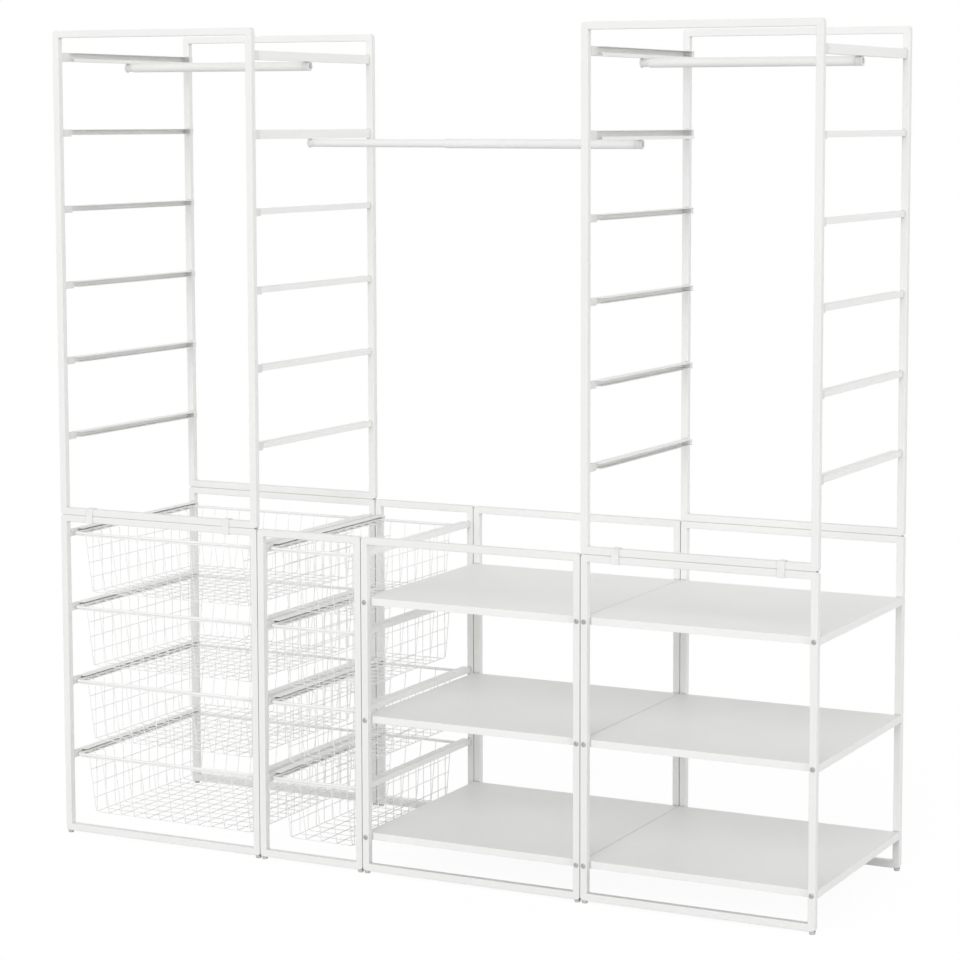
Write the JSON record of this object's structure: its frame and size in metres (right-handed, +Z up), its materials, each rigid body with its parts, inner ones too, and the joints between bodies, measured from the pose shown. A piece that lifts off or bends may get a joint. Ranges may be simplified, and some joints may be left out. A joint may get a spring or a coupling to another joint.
{
  "type": "open frame wardrobe",
  "caption": "Open wardrobe of white square-tube frames with sliding wire baskets, folded steel shelves, open towers and telescopic clothes rails.",
  "frame": {"origin": "on the floor, under the middle of the whole wardrobe", "axes": "+X to the right seen from the front, +Y to the back, +Z up; the baskets slide out along -Y"},
  "size_m": [1.7312, 0.5132, 1.73],
  "materials": {
    "frame_tube": "white powder coat, satin",
    "channel_sheet": "white powder coat, satin",
    "shelf_sheet": "white powder coat, satin",
    "basket_wire": "white powder coat, satin",
    "rail_tube": "white powder coat, satin",
    "cap_plastic": "moulded, matte",
    "plug_plastic": "moulded, matte",
    "clip_plastic": "moulded, matte",
    "foot_plastic": "moulded, matte",
    "screw_steel": "zinc plated"
  },
  "bodies": {
    "frame": {"base_1_back_frame": "frame_tube", "base_1_feet": "foot_plastic", "base_1_front_frame": "frame_tube", "base_1_left_runners": "channel_sheet", "base_1_right_runners": "channel_sheet", "base_1_runner_plugs": "plug_plastic", "base_2_back_frame": "frame_tube", "base_2_feet": "foot_plastic", "base_2_front_frame": "frame_tube", "base_2_left_runners": "channel_sheet", "base_2_right_runners": "channel_sheet", "base_2_runner_plugs": "plug_plastic", "base_3_back_frame": "frame_tube", "base_3_feet": "foot_plastic", "base_3_front_frame": "frame_tube", "base_3_shelf_1": "shelf_sheet", "base_3_shelf_2": "shelf_sheet", "base_3_shelf_3": "shelf_sheet", "base_3_shelf_screws": "screw_steel", "base_4_back_frame": "frame_tube", "base_4_feet": "foot_plastic", "base_4_front_frame": "frame_tube", "base_4_shelf_1": "shelf_sheet", "base_4_shelf_2": "shelf_sheet", "base_4_shelf_3": "shelf_sheet", "base_4_shelf_screws": "screw_steel", "left_rail_caps": "cap_plastic", "left_rail_inner_tube": "rail_tube", "left_rail_outer_tube": "rail_tube", "middle_rail_caps": "cap_plastic", "middle_rail_inner_tube": "rail_tube", "middle_rail_outer_tube": "rail_tube", "right_rail_caps": "cap_plastic", "right_rail_inner_tube": "rail_tube", "right_rail_outer_tube": "rail_tube", "tower_1_back_frame": "frame_tube", "tower_1_clips": "clip_plastic", "tower_1_front_frame": "frame_tube", "tower_1_left_rungs": "channel_sheet", "tower_1_left_supports": "channel_sheet", "tower_1_right_rungs": "channel_sheet", "tower_1_right_supports": "channel_sheet", "tower_1_rung_plugs": "plug_plastic", "tower_2_back_frame": "frame_tube", "tower_2_clips": "clip_plastic", "tower_2_front_frame": "frame_tube", "tower_2_left_rungs": "channel_sheet", "tower_2_left_supports": "channel_sheet", "tower_2_right_rungs": "channel_sheet", "tower_2_right_supports": "channel_sheet", "tower_2_rung_plugs": "plug_plastic"},
    "narrow_basket_1_body": {"narrow_basket_1": "basket_wire"},
    "narrow_basket_2_body": {"narrow_basket_2": "basket_wire"},
    "narrow_basket_3_body": {"narrow_basket_3": "basket_wire"},
    "narrow_basket_4_body": {"narrow_basket_4": "basket_wire"},
    "wide_basket_1_body": {"wide_basket_1": "basket_wire"},
    "wide_basket_2_body": {"wide_basket_2": "basket_wire"},
    "wide_basket_3_body": {"wide_basket_3": "basket_wire"},
    "wide_basket_4_body": {"wide_basket_4": "basket_wire"}
  },
  "joints": [
    {"name": "narrow_basket_1_slide", "type": "slide", "parent": "frame", "child": "narrow_basket_1_body", "axis": [0, -1, 0], "range_m": [0, 0.33]},
    {"name": "narrow_basket_2_slide", "type": "slide", "parent": "frame", "child": "narrow_basket_2_body", "axis": [0, -1, 0], "range_m": [0, 0.33]},
    {"name": "narrow_basket_3_slide", "type": "slide", "parent": "frame", "child": "narrow_basket_3_body", "axis": [0, -1, 0], "range_m": [0, 0.33]},
    {"name": "narrow_basket_4_slide", "type": "slide", "parent": "frame", "child": "narrow_basket_4_body", "axis": [0, -1, 0], "range_m": [0, 0.33]},
    {"name": "wide_basket_1_slide", "type": "slide", "parent": "frame", "child": "wide_basket_1_body", "axis": [0, -1, 0], "range_m": [0, 0.33]},
    {"name": "wide_basket_2_slide", "type": "slide", "parent": "frame", "child": "wide_basket_2_body", "axis": [0, -1, 0], "range_m": [0, 0.33]},
    {"name": "wide_basket_3_slide", "type": "slide", "parent": "frame", "child": "wide_basket_3_body", "axis": [0, -1, 0], "range_m": [0, 0.33]},
    {"name": "wide_basket_4_slide", "type": "slide", "parent": "frame", "child": "wide_basket_4_body", "axis": [0, -1, 0], "range_m": [0, 0.33]}
  ]
}
